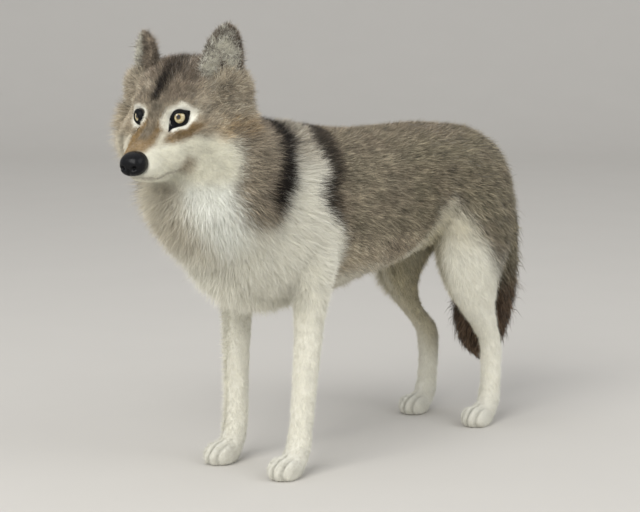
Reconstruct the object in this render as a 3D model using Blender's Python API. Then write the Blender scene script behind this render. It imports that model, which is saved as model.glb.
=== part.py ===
"""Needle felted wolf, standing on its four paws with its head turned a little to its left.

The wolf faces -Y, its left side is +X and its soles rest on z = 0. Sizes are in millimetres, with y
measured from midway between its fore and hind feet, and are turned into metres where a mesh is made. The felted body is one piece of wool: lofts of its torso, neck,
head and legs are felted together. The ears, the tail, the clay nose, the glass eyes and their black lids
are pieces of their own, each seated in a recess of the body.
"""

import math

import bmesh
import bpy
import numpy as np
from mathutils import Matrix, Vector

MM = 0.001

# Stance and topline
STANCE_LENGTH = 132.0
STANCE_WIDTH = 39.0
WITHERS_HEIGHT = 149.0
BACK_HEIGHT = 145.0
CROUP_HEIGHT = 143.0
RUMP_OVERHANG = 27.5
CHEST_OVERHANG = 38.0

# Torso
CHEST_FLOOR = 73.0
LOIN_FLOOR = 92.0
CHEST_WIDTH = 57.0
LOIN_WIDTH = 44.0
HIP_WIDTH = 49.0
NECK_WIDTH = 50.0

# Head. Its own frame has its origin midway between the eyes and faces -Y.
HEAD_REACH = 64.5
HEAD_OFFSET = 4.8
EYE_HEIGHT = 155.0
HEAD_TURN = 19.0
HEAD_NOD = 7.0
SKULL_WIDTH = 38.0
CHEEK_WIDTH = 55.0
MUZZLE_LENGTH = 21.0
MUZZLE_WIDTH = 14.0
CROWN_RISE = 20.0
JAW_DROP = 25.0

# Legs and paws
FORELEG_WIDTH = 10.0
SHIN_WIDTH = 9.6
HOCK_HEIGHT = 37.0
PAW_LENGTH = 19.0
PAW_WIDTH = 13.5
PAW_HEIGHT = 10.0

# Pieces set into the wool
EAR_HEIGHT = 21.5
RIGHT_EAR_HEIGHT = 18.0
EAR_WIDTH = 17.0
EAR_THICKNESS = 3.4
EAR_ROOT = 7.0
EAR_SPACING = 30.0
EAR_SPLAY = 34.0
TAIL_LENGTH = 94.0
TAIL_WIDTH = 28.0
NOSE_WIDTH = 10.6
NOSE_HEIGHT = 9.1
NOSE_DEPTH = 8.5
EYE_DIAMETER = 6.6
EYE_CURVE = 4.0
EYE_SPACING = 19.6
EYE_SPLAY = 38.0
LID_WIDTH = 8.4
LID_THICKNESS = 0.8
LID_FALL = 3.2
SEAT_GAP = 0.3

# How finely the wool is felted
FELT_GRAIN = 0.8
BODY_FACES = 6900
RING_STEPS = 24
LOFT_STEPS = 2

FORE_Y = -STANCE_LENGTH / 2
HIND_Y = STANCE_LENGTH / 2
LEG_X = STANCE_WIDTH / 2

ACROSS = np.array([1.0, 0.0, 0.0])
BACK = np.array([0.0, 1.0, 0.0])
UP = np.array([0.0, 0.0, 1.0])


def clear_scene():
    for old in list(bpy.data.objects):
        bpy.data.objects.remove(old)


def head_frame():
    """Places the head's own frame in the wolf's."""
    place = Matrix.Translation((HEAD_OFFSET, FORE_Y - HEAD_REACH, EYE_HEIGHT))
    turn = Matrix.Rotation(math.radians(HEAD_TURN), 4, "Z")
    nod = Matrix.Rotation(math.radians(HEAD_NOD), 4, "X")
    return place @ turn @ nod


def flowing(rows, steps=4):
    """The rows with more between each two, on a Catmull-Rom curve through them."""
    rows = np.array(rows, float)
    held = np.vstack([2 * rows[0] - rows[1], rows, 2 * rows[-1] - rows[-2]])
    before, here, after, beyond = (held[i : len(held) - 3 + i, None, :] for i in range(4))
    t = (np.arange(steps) / steps)[None, :, None]
    curve = 0.5 * (
        2 * here
        + (after - before) * t
        + (2 * before - 5 * here + 4 * after - beyond) * t**2
        + (3 * here - before - 3 * after + beyond) * t**3
    )
    return np.vstack([curve.reshape(-1, rows.shape[1]), rows[-1]])


def oval(centre, up, half_width, rise, drop, squareness=2.0, points=RING_STEPS):
    """One ring of points: half_width to each side of its centre, rise above it and drop below it."""
    turn = np.linspace(0, 2 * math.pi, points, endpoint=False)
    c, s = np.cos(turn), np.sin(turn)
    power = 2 / squareness
    x = np.sign(c) * np.abs(c) ** power * half_width
    y = np.sign(s) * np.abs(s) ** power * np.where(s > 0, rise, drop)
    return np.asarray(centre, float) + np.outer(x, ACROSS) + np.outer(y, up)


def skin(bm, rings, place=None):
    """Joins the rings into one skin with a flat face at each end."""
    place = place or Matrix.Identity(4)
    loops = [[bm.verts.new(place @ Vector(p * MM)) for p in ring] for ring in rings]
    count = len(loops[0])
    for low, high in zip(loops, loops[1:]):
        for i in range(count):
            j = (i + 1) % count
            bm.faces.new((low[i], low[j], high[j], high[i]))
    bm.faces.new(loops[0][::-1])
    bm.faces.new(loops[-1])


def loft(bm, rows, up, place=None, squareness=2.0, steps=4, points=RING_STEPS):
    """A skin through rows of x, y, z, half width, rise and drop."""
    rings = [oval(r[:3], up, *r[3:6], squareness, points) for r in flowing(rows, steps)]
    skin(bm, rings, place)


def ball(bm, centre, radii, place=None):
    """A ball stretched to its three radii."""
    shape = Matrix.Translation(Vector(centre) * MM) @ Matrix.Diagonal((*(Vector(radii) * MM), 1))
    bmesh.ops.create_icosphere(bm, subdivisions=3, radius=1, matrix=(place or Matrix.Identity(4)) @ shape)


def placed(frame):
    """A frame measured in millimetres, in metres."""
    scaled = frame.copy()
    scaled.translation = scaled.translation * MM
    return scaled


def section(y, top, bottom, half_width, x=0.0):
    """A row of an upright section that reaches from bottom to top."""
    half = (top - bottom) / 2
    return (x, y, bottom + half, half_width, half, half)


def torso(bm):
    chest = CHEST_WIDTH / 2
    loin = LOIN_WIDTH / 2
    hip = HIP_WIDTH / 2
    rump = HIND_Y + RUMP_OVERHANG
    rows = [
        section(rump, CROUP_HEIGHT - 27, CROUP_HEIGHT - 40, hip * 0.24),
        section(rump - 4, CROUP_HEIGHT - 19, CROUP_HEIGHT - 48, hip * 0.5),
        section(rump - 12, CROUP_HEIGHT - 9.5, CROUP_HEIGHT - 53, hip * 0.76),
        section(HIND_Y, CROUP_HEIGHT - 1.5, LOIN_FLOOR - 4, hip * 0.93),
        section(HIND_Y - 20, CROUP_HEIGHT + 1, LOIN_FLOOR - 2, hip * 0.97),
        section(HIND_Y - 40, BACK_HEIGHT, LOIN_FLOOR - 6, loin),
        section(-8, BACK_HEIGHT - 1, CHEST_FLOOR + 7, loin + 2),
        section(FORE_Y + 32, BACK_HEIGHT + 1, CHEST_FLOOR + 2, chest * 0.95),
        section(FORE_Y + 10, WITHERS_HEIGHT, CHEST_FLOOR, chest),
        section(FORE_Y - 8, WITHERS_HEIGHT, CHEST_FLOOR + 1, chest * 0.97),
        section(FORE_Y - 24, WITHERS_HEIGHT - 6, CHEST_FLOOR + 6, chest * 0.82),
        section(FORE_Y - CHEST_OVERHANG + 4, WITHERS_HEIGHT - 18, CHEST_FLOOR + 16, chest * 0.55),
        section(FORE_Y - CHEST_OVERHANG, WITHERS_HEIGHT - 28, CHEST_FLOOR + 28, chest * 0.2),
    ]
    loft(bm, rows, UP)


def neck(bm):
    """The maned neck, from the shoulders up and forward into the head."""
    lean = math.radians(38)
    up = math.cos(lean) * UP + math.sin(lean) * BACK
    half = NECK_WIDTH / 2
    rows = [
        (0, FORE_Y + 14, 104, half * 0.6, 24, 18),
        (0, FORE_Y + 2, 108, half * 0.88, 34, 26),
        (0, FORE_Y - 12, 116, half * 1.06, 36, 32),
        (1, FORE_Y - 27, 127, half * 1.1, 30, 32),
        (3, FORE_Y - 41, 140, half, 23, 28),
        (4, FORE_Y - 52, 150, half * 0.7, 14, 18),
    ]
    loft(bm, rows, up)


def head(bm, frame):
    skull = SKULL_WIDTH / 2
    muzzle = MUZZLE_WIDTH / 2
    rows = [
        section(42, CROWN_RISE - 10, -JAW_DROP + 2, skull * 0.7),
        section(33, CROWN_RISE - 3, -JAW_DROP - 3, skull * 0.98),
        section(23, CROWN_RISE, -JAW_DROP - 3, skull),
        section(14, CROWN_RISE - 2.5, -JAW_DROP - 2, skull * 0.98),
        section(7, CROWN_RISE - 8, -JAW_DROP - 1, skull * 0.84),
        section(1, CROWN_RISE - 14.5, -JAW_DROP, skull * 0.58),
        section(-5, -1.5, -JAW_DROP + 0.5, muzzle * 1.28),
        section(-12, -5.5, -JAW_DROP + 1.5, muzzle * 1.1),
        section(-MUZZLE_LENGTH + 2, -8.5, -JAW_DROP + 3.5, muzzle * 0.94),
        section(-MUZZLE_LENGTH, -10, -JAW_DROP + 5.5, muzzle * 0.72),
    ]
    loft(bm, rows, UP, frame, 2.3)
    cheek = CHEEK_WIDTH / 2
    for side in (-1, 1):
        ball(bm, (side * (cheek - 14.5), 15, -11), (11, 17, 12.5), frame)
        ball(bm, (side * (cheek - 13.5), 26, -6), (13.5, 13, 17), frame)
        ball(bm, (side * 7.5, 6.5, 4), (7, 5.5, 5), frame)
        ball(bm, (side * 7, 0, -13), (6.5, 12, 8), frame)
        ball(bm, (side * muzzle * 0.55, -14, -JAW_DROP + 8.5), (4, 7, 4.5), frame)
        ball(bm, (side * (EAR_SPACING / 2 + 1), 26, CROWN_RISE - 13.5), (11, 10, 10), frame)


def paw(bm, x, y, lift=0.0):
    """A pad with four toes that point forward."""
    half = PAW_WIDTH / 2
    ball(bm, (x, y - 1.5, PAW_HEIGHT * 0.42), (half * 0.92, PAW_LENGTH * 0.42, PAW_HEIGHT * 0.56))
    for across, back, width in ((-0.72, 2.6, 0.9), (-0.25, 0, 1.0), (0.25, 0, 1.0), (0.72, 2.6, 0.9)):
        reach = y - PAW_LENGTH * 0.36 + back
        ball(bm, (x + across * half, reach, PAW_HEIGHT * 0.32), (2.1 * width, 5.4, PAW_HEIGHT * 0.44))


def foreleg(bm, side):
    r = FORELEG_WIDTH / 2
    rows = [
        (side * (LEG_X - 1), FORE_Y + 6, 112, 8, 12, 10),
        (side * (LEG_X + 1), FORE_Y + 5, 92, 9, 12, 10),
        (side * (LEG_X + 2.5), FORE_Y + 4.5, 76, r * 1.45, r * 1.6, r * 1.4),
        (side * (LEG_X + 2), FORE_Y + 4, 62, r * 1.2, r * 1.3, r * 1.2),
        (side * (LEG_X + 1.3), FORE_Y + 3, 45, r * 1.06, r * 1.1, r * 1.08),
        (side * (LEG_X + 0.5), FORE_Y + 2, 28, r, r, r * 1.02),
        (side * LEG_X, FORE_Y + 1, 17, r * 0.98, r, r * 1.02),
        (side * LEG_X, FORE_Y - 1, 9, r * 1.08, r * 1.15, r * 1.2),
        (side * LEG_X, FORE_Y - 2.5, 4, r * 1.0, r * 1.0, r * 1.2),
    ]
    loft(bm, rows, BACK)
    paw(bm, side * LEG_X, FORE_Y - 5)


def hindleg(bm, side, bend, fill):
    """bend is how far forward of its neighbour's the knee is; fill is how much fuller the thigh is."""
    r = SHIN_WIDTH / 2
    rows = [
        (side * (LEG_X - 8), HIND_Y - 2, 126, 10, 15, 18),
        (side * (LEG_X - 4), HIND_Y - 5, 108, 13, 20, 21),
        (side * (LEG_X - 2), HIND_Y - 9 - bend * 0.6, 90, 13, 20, 21 + fill),
        (side * (LEG_X - 0.5), HIND_Y - 11 - bend, 76, 9.5 + fill, 12 + fill * 1.3, 14 + fill * 2.5),
        (side * LEG_X, HIND_Y - 10 - bend, 65, 7 + fill, 8 + fill * 1.5, 10 + fill * 2.5),
        (side * LEG_X, HIND_Y - 6 - bend * 0.7, 54, 5 + fill * 0.6, 6 + fill, 6.5 + fill * 1.6),
        (side * LEG_X, HIND_Y - 0.5, HOCK_HEIGHT + 6, r * 1.05, r * 1.25, r * 1.15),
        (side * LEG_X, HIND_Y + 2, HOCK_HEIGHT - 3, r * 0.98, r * 1.2, r),
        (side * LEG_X, HIND_Y + 2, 20, r * 0.95, r, r),
        (side * LEG_X, HIND_Y + 0.5, 10, r * 1.08, r * 1.1, r * 1.2),
        (side * LEG_X, HIND_Y - 2, 4, r * 1.0, r * 1.0, r * 1.2),
    ]
    loft(bm, rows, BACK)
    paw(bm, side * LEG_X, HIND_Y - 5)


def ear_rings(tall, grow=0.0):
    """Crescent sections from the ear's root to its rounded tip, hollow side forward, in the ear's own frame."""
    turn = np.linspace(0, 2 * math.pi, 20, endpoint=False)
    w, t = np.cos(turn), np.sin(turn)
    rings = []
    for v in np.linspace(-EAR_ROOT / tall, 0.985, 12):
        taper = (1 - max(v, 0) ** 2) ** 0.48
        half = EAR_WIDTH / 2 * taper * (1 + min(v, 0))
        cup = 3.6 * (1 - 0.75 * max(v, 0)) * taper
        thick = EAR_THICKNESS / 2 * (0.35 + 0.65 * taper) + grow * 1.4
        x = (half + grow * 1.4) * w
        y = thick * t - cup * (x / half) ** 2 - 1.5 * v**2
        rings.append(np.column_stack([x, y, np.full(20, tall * v + math.copysign(grow, v))]))
    return rings


def ear_frame(side, frame):
    place = Matrix.Translation(Vector((side * EAR_SPACING / 2 + 0.8, 23, CROWN_RISE - 8)) * MM)
    splay = Matrix.Rotation(math.radians(side * EAR_SPLAY), 4, "Z")
    lean = Matrix.Rotation(math.radians(-8 if side > 0 else -12), 4, "X")
    tilt = Matrix.Rotation(math.radians(17 if side > 0 else -15), 4, "Y")
    return frame @ place @ tilt @ splay @ lean


def tail_rows(grow=0.0):
    half = TAIL_WIDTH / 2
    top = CROUP_HEIGHT - 22
    y = HIND_Y + RUMP_OVERHANG
    rows = [
        (0, y - 9, top, 4.5, 4.5, 4.5),
        (0, y - 3, top - 5, half * 0.42, 6.5, 6.5),
        (0, y + 2, top - 18, half * 0.62, half * 0.58, half * 0.5),
        (0, y, top - 38, half * 0.85, half * 0.8, half * 0.7),
        (0, y - 5, top - TAIL_LENGTH * 0.62, half, half, half * 0.85),
        (0, y - 8, top - TAIL_LENGTH * 0.78, half * 0.94, half * 0.92, half * 0.8),
        (0, y - 9, top - TAIL_LENGTH * 0.92, half * 0.62, half * 0.62, half * 0.6),
        (0, y - 9, top - TAIL_LENGTH, half * 0.12, half * 0.12, half * 0.12),
    ]
    return [(x, y, z, w + grow, a + grow, b + grow) for x, y, z, w, a, b in rows]


def nose_rows(grow=0.0):
    half, tall = NOSE_WIDTH / 2, NOSE_HEIGHT / 2
    back = -MUZZLE_LENGTH + 3
    z = -JAW_DROP + 10.5
    rows = [
        (0, back, z, half * 0.75, tall * 0.8, tall * 0.7),
        (0, back - 1.5, z, half * 0.96, tall * 0.98, tall * 0.9),
        (0, back - NOSE_DEPTH * 0.45, z, half, tall, tall),
        (0, back - NOSE_DEPTH * 0.75, z, half * 0.86, tall * 0.86, tall * 0.92),
        (0, back - NOSE_DEPTH * 0.94, z - 0.2, half * 0.5, tall * 0.5, tall * 0.6),
        (0, back - NOSE_DEPTH, z - 0.3, half * 0.12, tall * 0.12, tall * 0.2),
    ]
    return [(x, y, z, w + grow, a + grow, b + grow) for x, y, z, w, a, b in rows]


def eye_frame(side, frame):
    """The eye's own frame: its z looks out of the head and its x points to the outer corner's side."""
    splay = math.radians(EYE_SPLAY)
    out = Vector((side * math.sin(splay), -math.cos(splay), 0.12)).normalized()
    across = Vector((side * math.cos(splay), math.sin(splay), 0)).normalized()
    above = out.cross(across) * side
    axes = Matrix((across * side, above, out)).transposed().to_4x4()
    centre = Vector((side * EYE_SPACING / 2, 0, 0)) - out * (EYE_CURVE - 0.4)
    return frame @ Matrix.Translation(centre * MM) @ axes


def almond(half_width, side, spike=1.0):
    """The outline of the lids, drawn out into a tear duct at its inner corner and a point at its outer one."""
    turn = np.linspace(0, 2 * math.pi, 32, endpoint=False)
    away = lambda corner: np.abs((turn - corner + math.pi) % (2 * math.pi) - math.pi)
    duct = 0.62 * np.exp(-((away(math.pi + 0.72) / 0.26) ** 2))
    point = 0.3 * np.exp(-((away(0.5) / 0.22) ** 2))
    radius = half_width * (1 + spike * (duct + point))
    return np.stack([side * radius * np.cos(turn), 0.86 * radius * np.sin(turn)], axis=1)


def lid_rings(side):
    """A black lid round the glass eye, curved back over the face, as a ring of four outlines."""
    inner = almond(LID_WIDTH / 2 - 1.25, side, 0.25)
    outer = almond(LID_WIDTH / 2, side)
    rings = []
    for outline, lift in ((inner, 0), (outer, 0), (outer, 1), (inner, 1)):
        round_fall = (outline**2).sum(axis=1) / (2 * (EYE_CURVE + SEAT_GAP))
        fall = LID_FALL * (1 - np.exp(-round_fall / LID_FALL))
        height = EYE_CURVE + SEAT_GAP - fall + lift * LID_THICKNESS
        rings.append(np.column_stack([outline, height]))
    return rings


def material(name, colour, roughness, coat=0.0):
    made = bpy.data.materials.new(name)
    made.use_nodes = True
    shader = made.node_tree.nodes["Principled BSDF"]
    shader.inputs["Base Color"].default_value = (*colour, 1)
    shader.inputs["Roughness"].default_value = roughness
    shader.inputs["Coat Weight"].default_value = coat
    made.diffuse_color = (*colour, 1)
    return made


def piece(name, bm, finish):
    """An object of its own from the mesh being built, shaded smooth."""
    bmesh.ops.recalc_face_normals(bm, faces=bm.faces)
    mesh = bpy.data.meshes.new(name)
    bm.to_mesh(mesh)
    bm.free()
    mesh.shade_smooth()
    mesh.materials.append(finish)
    made = bpy.data.objects.new(name, mesh)
    bpy.context.scene.collection.objects.link(made)
    return made


def cut(target, name, bm):
    """Takes the mesh being built out of the target, and keeps it as a hidden cutter."""
    cutter = piece(name, bm, target.data.materials[0])
    cutter.hide_render = True
    cutter.display_type = "WIRE"
    recess = target.modifiers.new(name, "BOOLEAN")
    recess.operation = "DIFFERENCE"
    recess.object = cutter
    return cutter


def felted_body(frame, wool):
    """Torso, neck, head and legs felted into one piece, needled smooth and thinned to fewer faces."""
    bm = bmesh.new()
    torso(bm)
    neck(bm)
    head(bm, frame)
    for side in (-1, 1):
        foreleg(bm, side)
        hindleg(bm, side, *((1.0, 2.0) if side > 0 else (8.0, 0.0)))
    body = piece("felted_body", bm, wool)
    together = body.modifiers.new("Felt together", "REMESH")
    together.mode = "VOXEL"
    together.voxel_size = FELT_GRAIN * MM
    together.use_smooth_shade = True
    needled = body.modifiers.new("Needle smooth", "SMOOTH")
    needled.iterations = 16
    needled.factor = 0.5
    bpy.context.view_layer.update()
    dense = len(body.evaluated_get(bpy.context.evaluated_depsgraph_get()).data.polygons)
    thinned = body.modifiers.new("Fewer faces", "DECIMATE")
    thinned.ratio = min(1.0, BODY_FACES / (2 * dense))
    return body


def ground_block():
    bm = bmesh.new()
    shape = Matrix.Translation((0, 0, -10 * MM)) @ Matrix.Diagonal((0.4, 0.6, 20 * MM, 1))
    bmesh.ops.create_cube(bm, size=1, matrix=shape)
    return bm


def ear(side, frame, grow=0.0):
    bm = bmesh.new()
    tall = EAR_HEIGHT if side > 0 else RIGHT_EAR_HEIGHT
    skin(bm, ear_rings(tall, grow), ear_frame(side, frame))
    return bm


def tail(grow=0.0):
    bm = bmesh.new()
    loft(bm, tail_rows(grow), BACK, steps=LOFT_STEPS)
    return bm


def nose(frame, grow=0.0):
    bm = bmesh.new()
    loft(bm, nose_rows(grow), UP, frame, 2.4, LOFT_STEPS, 20)
    return bm


def glass_eye(side, frame):
    """A glass cabochon: a dome with a flat back."""
    half = EYE_DIAMETER / 2
    edge = math.sqrt(EYE_CURVE**2 - half**2)
    turn = np.linspace(0, 2 * math.pi, 20, endpoint=False)
    circle = np.stack([np.cos(turn), np.sin(turn)], axis=1)
    steps = np.linspace(math.asin(half / EYE_CURVE), 0.05, 5)
    radii = [half - 0.2, half] + [EYE_CURVE * math.sin(a) for a in steps]
    heights = [edge - 1.2, edge - 1.0] + [EYE_CURVE * math.cos(a) for a in steps]
    rings = [np.column_stack([circle * r, np.full(20, z)]) for r, z in zip(radii, heights)]
    bm = bmesh.new()
    skin(bm, rings, eye_frame(side, frame))
    return bm


def eyelid(side, frame):
    bm = bmesh.new()
    place = eye_frame(side, frame)
    loops = [[bm.verts.new(place @ Vector(p * MM)) for p in ring] for ring in lid_rings(side)]
    count = len(loops[0])
    for low, high in zip(loops, loops[1:] + loops[:1]):
        for i in range(count):
            j = (i + 1) % count
            bm.faces.new((low[i], low[j], high[j], high[i]))
    return bm


def eye_socket(side, frame):
    """A pocket of the lids' outline, deep enough for the glass."""
    outline = almond(LID_WIDTH / 2 + SEAT_GAP, side)
    edge = math.sqrt(EYE_CURVE**2 - (EYE_DIAMETER / 2) ** 2)
    lowest = min(edge - 1.2, *(ring[:, 2].min() for ring in lid_rings(side)))
    levels = (lowest - SEAT_GAP, EYE_CURVE + 5)
    rings = [np.column_stack([outline, np.full(len(outline), z)]) for z in levels]
    bm = bmesh.new()
    skin(bm, rings, eye_frame(side, frame))
    return bm


def centre_on_origin():
    """Moves everything so that the origin lies under the middle of the wolf, between its soles."""
    bpy.context.view_layer.update()
    graph = bpy.context.evaluated_depsgraph_get()
    shown = [o.evaluated_get(graph) for o in bpy.data.objects if not o.hide_render]
    corners = np.array([corner for o in shown for corner in o.bound_box])
    middle = (corners.min(axis=0) + corners.max(axis=0)) / 2
    for o in bpy.data.objects:
        o.location -= Vector((middle[0], middle[1], 0))


def main():
    clear_scene()
    wool = material("white_wool", (0.72, 0.69, 0.6), 0.95)
    grey_wool = material("grey_wool", (0.33, 0.29, 0.25), 0.95)
    dark_wool = material("dark_wool", (0.05, 0.035, 0.03), 0.95)
    clay = material("black_clay", (0.012, 0.013, 0.015), 0.38, 0.3)
    glass = material("amber_glass", (0.62, 0.45, 0.12), 0.06, 1.0)
    frame = placed(head_frame())

    body = felted_body(frame, wool)
    cut(body, "ground", ground_block())
    cut(body, "tail_seat", tail(SEAT_GAP))
    cut(body, "nose_seat", nose(frame, SEAT_GAP))
    piece("tail", tail(), dark_wool)
    piece("nose", nose(frame), clay)
    for side, name in ((1, "left"), (-1, "right")):
        cut(body, f"{name}_ear_seat", ear(side, frame, SEAT_GAP))
        cut(body, f"{name}_eye_socket", eye_socket(side, frame))
        piece(f"{name}_ear", ear(side, frame), grey_wool)
        piece(f"{name}_eye", glass_eye(side, frame), glass)
        piece(f"{name}_eyelid", eyelid(side, frame), clay)
    centre_on_origin()


main()
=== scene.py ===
"""Visual model of a needle felted wolf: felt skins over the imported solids, a combed coat of wool fibres,
glass eyes with clay lids, a clay nose, and a plain studio.

The file is laid out as a Blender add-on and run as a script. Shapes are numpy surfaces in millimetres, measured
from midway between the wolf's fore and hind feet, and turned into metres where a mesh is made.
"""

import math

import bmesh
import bpy
import numpy as np
from bpy.props import FloatProperty, FloatVectorProperty, IntProperty, PointerProperty
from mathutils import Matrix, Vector


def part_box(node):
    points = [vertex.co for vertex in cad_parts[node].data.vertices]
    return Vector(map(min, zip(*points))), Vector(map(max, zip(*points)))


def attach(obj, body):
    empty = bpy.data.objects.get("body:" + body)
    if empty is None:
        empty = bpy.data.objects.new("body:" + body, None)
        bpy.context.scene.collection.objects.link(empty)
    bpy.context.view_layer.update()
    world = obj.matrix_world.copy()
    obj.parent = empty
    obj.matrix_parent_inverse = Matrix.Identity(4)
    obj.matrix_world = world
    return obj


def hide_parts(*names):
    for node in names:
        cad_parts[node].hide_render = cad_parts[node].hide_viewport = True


bl_info = {
    "name": "Needle felted wolf",
    "version": (1, 0, 0),
    "blender": (4, 5, 0),
    "location": "View3D > Sidebar > Felted wolf",
    "description": "Felt skins, combed wool, glass eyes and a clay nose over a packed felted wolf",
    "category": "Object",
}

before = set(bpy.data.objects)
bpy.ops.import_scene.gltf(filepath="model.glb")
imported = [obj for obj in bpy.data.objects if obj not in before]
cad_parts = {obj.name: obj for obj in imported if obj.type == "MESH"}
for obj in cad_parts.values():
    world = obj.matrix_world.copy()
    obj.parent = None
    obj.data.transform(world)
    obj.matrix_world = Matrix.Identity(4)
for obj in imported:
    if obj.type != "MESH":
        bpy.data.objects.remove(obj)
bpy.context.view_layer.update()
MM = 0.001

# The head's own frame: its origin is midway between the eyes, it faces -Y, and it is turned and then nodded.
HEAD_AT = np.array([4.8, -130.5, 155.0])
HEAD_TURN = math.radians(19.0)
HEAD_NOD = math.radians(7.0)
EYE_SPACING = 19.6
EYE_SPLAY = math.radians(38.0)
EYE_CURVE = 4.0
EYE_DIAMETER = 6.6
LEFT_EYE_MIDDLE = np.array([12.645, -126.30, 154.96])
SIDES = ((1, "left"), (-1, "right"))

# The lids, from each eye's middle: their slant, their corners, their highest and lowest edge and their drop.
LID_SLANT = math.radians(37.0)
LID_CORNER = 4.8
TEAR_CORNER = 7.8
LID_TOP = 4.35
LID_BOTTOM = 3.0
LID_DROP = 0.95
OPENING = 2.4
SQUEEZE = {"left": 1.0, "right": 0.72}

# The glass eyes: where the iris ends and is black, and how far the pupil stands off the middle.
IRIS_EDGE = 2.35
IRIS_END = 2.9
GAZE_ACROSS = {"left": -0.85, "right": 1.2}
GAZE_UP = 0.2

# The coats, as numbers of the regions that they grow on.
BACK, RUFF, HEAD, HIND, LEGS = range(5)
HIND_START = 22.0
RUFF_END = -46.0


def turned(turn, nod):
    """The matrix that nods by nod about X and then turns by turn about Z."""
    c, s = math.cos(turn), math.sin(turn)
    a, b = math.cos(nod), math.sin(nod)
    about_z = np.array([[c, -s, 0], [s, c, 0], [0, 0, 1]])
    about_x = np.array([[1, 0, 0], [0, a, -b], [0, b, a]])
    return about_z @ about_x


HEAD_AXES = turned(HEAD_TURN, HEAD_NOD)


def middle_of(node):
    """The middle of a CAD node's box, in millimetres."""
    low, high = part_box(node)
    return (np.array(low) + np.array(high)) / 2 / MM


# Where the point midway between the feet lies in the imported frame.
FEET_MIDDLE = (middle_of("left_eye") - LEFT_EYE_MIDDLE) * np.array([1, 1, 0])


def into_head(points):
    """Carries points from the wolf's frame to the head's."""
    return (points - HEAD_AT) @ HEAD_AXES


def out_of_head(points):
    """Carries points from the head's frame to the wolf's."""
    return points @ HEAD_AXES.T + HEAD_AT


def unit(vectors):
    """The vectors scaled to length 1."""
    return vectors / np.maximum(np.linalg.norm(vectors, axis=1, keepdims=True), 1e-9)


def laid_flat(ways, normals):
    """The ways laid into the skin that has these normals, at length 1."""
    return unit(ways - normals * np.sum(ways * normals, axis=1, keepdims=True))


def bell(*offsets):
    """A bell curve: 1 where every offset is 0, falling off as they grow past 1."""
    return np.exp(-sum(offset**2 for offset in offsets))


def ease(x, start, end):
    """0 up to start, 1 past end, and a smooth step between; it falls instead where end is below start."""
    t = np.clip((x - start) / (end - start), 0, 1)
    return t * t * (3 - 2 * t)


def grain(points, size, seed):
    """Smooth random values from -1 to 1: random numbers on a lattice of the given size, blended between."""
    cells = points / size
    low = np.floor(cells).astype(np.int64)
    t = cells - low
    t = t * t * (3 - 2 * t)
    total = np.zeros(len(points))
    for corner in range(8):
        step = np.array([corner & 1, corner >> 1 & 1, corner >> 2 & 1])
        key = (low + step) @ np.array([73856093, 19349663, 83492791]) + seed * 2654435761
        key = (key ^ (key >> 13)) * 1274126177 & 0x7FFFFFFF
        share = np.prod(np.where(step, t, 1 - t), axis=1)
        total += share * (((key ^ (key >> 16)) % 65536) / 32767.5 - 1)
    return total


def streaks(points, along, size, seed):
    """Streaks from about -1 to 1 that run the way the fibres lie: the grain at steps along it, added up and clipped."""
    total = sum(grain(points + along * size * step, size, seed) for step in range(-3, 4))
    return np.clip(total * 0.42, -1, 1)


def dyed(name, description, default):
    """A colour that a user can change."""
    return FloatVectorProperty(name=name, description=description, subtype="COLOR", min=0, max=1, default=default)


def tufts(name, description, default):
    """A number of tufts that a user can change."""
    return IntProperty(name=name, description="Tufts on " + description, min=100, default=default)


class WolfWool(bpy.types.PropertyGroup):
    """Colours of the dyed wools"""

    white: dyed("White", "Legs, chest and cheeks", default=(0.83, 0.81, 0.705))
    grey: dyed("Grey", "Back and flanks", default=(0.222, 0.194, 0.132))
    neck: dyed("Neck", "Neck and upper cheeks", default=(0.37, 0.318, 0.235))
    crown: dyed("Crown", "Crown and brow", default=(0.18, 0.137, 0.1))
    tan: dyed("Tan", "Bridge and under the eyes", default=(0.32, 0.2, 0.072))
    black: dyed("Black", "Bands and tail end", default=(0.016, 0.012, 0.009))


class WolfCoat(bpy.types.PropertyGroup):
    """Grain of the felt and numbers of tufts"""

    skin_grain: FloatProperty(
        name="Skin grain", description="Size of the felt skin's faces", unit="LENGTH", default=0.00124
    )
    width: FloatProperty(
        name="Fibre width", description="Width of a tuft of fibres at its root", unit="LENGTH", default=0.00017
    )
    back: tufts("Back", "the back and flanks", default=140000)
    ruff: tufts("Ruff", "the neck, chest and shoulders", default=190000)
    head: tufts("Head", "the head", default=190000)
    hind: tufts("Hindquarters", "the rump and thighs", default=96000)
    legs: tufts("Legs", "the lower legs and paws", default=78000)
    tail: tufts("Tail", "the tail", default=24000)
    ears: tufts("Ears", "the ears", default=52000)


class WolfFace(bpy.types.PropertyGroup):
    """Glass eyes and clay"""

    iris: dyed("Iris", "Amber of the glass eyes", default=(0.6, 0.56, 0.35))
    clay: dyed("Clay", "Black of the nose and lids", default=(0.004, 0.004, 0.0045))
    pupil: FloatProperty(name="Pupil", description="Radius of the pupil", unit="LENGTH", default=0.0009)


class WolfStudio(bpy.types.PropertyGroup):
    """Floor and light"""

    floor: dyed("Floor", "Colour of the sweep", default=(0.6, 0.58, 0.54))
    key: FloatProperty(name="Key light", description="Power of the large soft light", subtype="POWER", default=17.5)
    fill: FloatProperty(name="Fill light", description="Strength of the light from all round", default=0.7)


class WolfSettings(bpy.types.PropertyGroup):
    """All of the wolf's settings"""

    wool: PointerProperty(type=WolfWool)
    coat: PointerProperty(type=WolfCoat)
    face: PointerProperty(type=WolfFace)
    studio: PointerProperty(type=WolfStudio)


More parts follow.
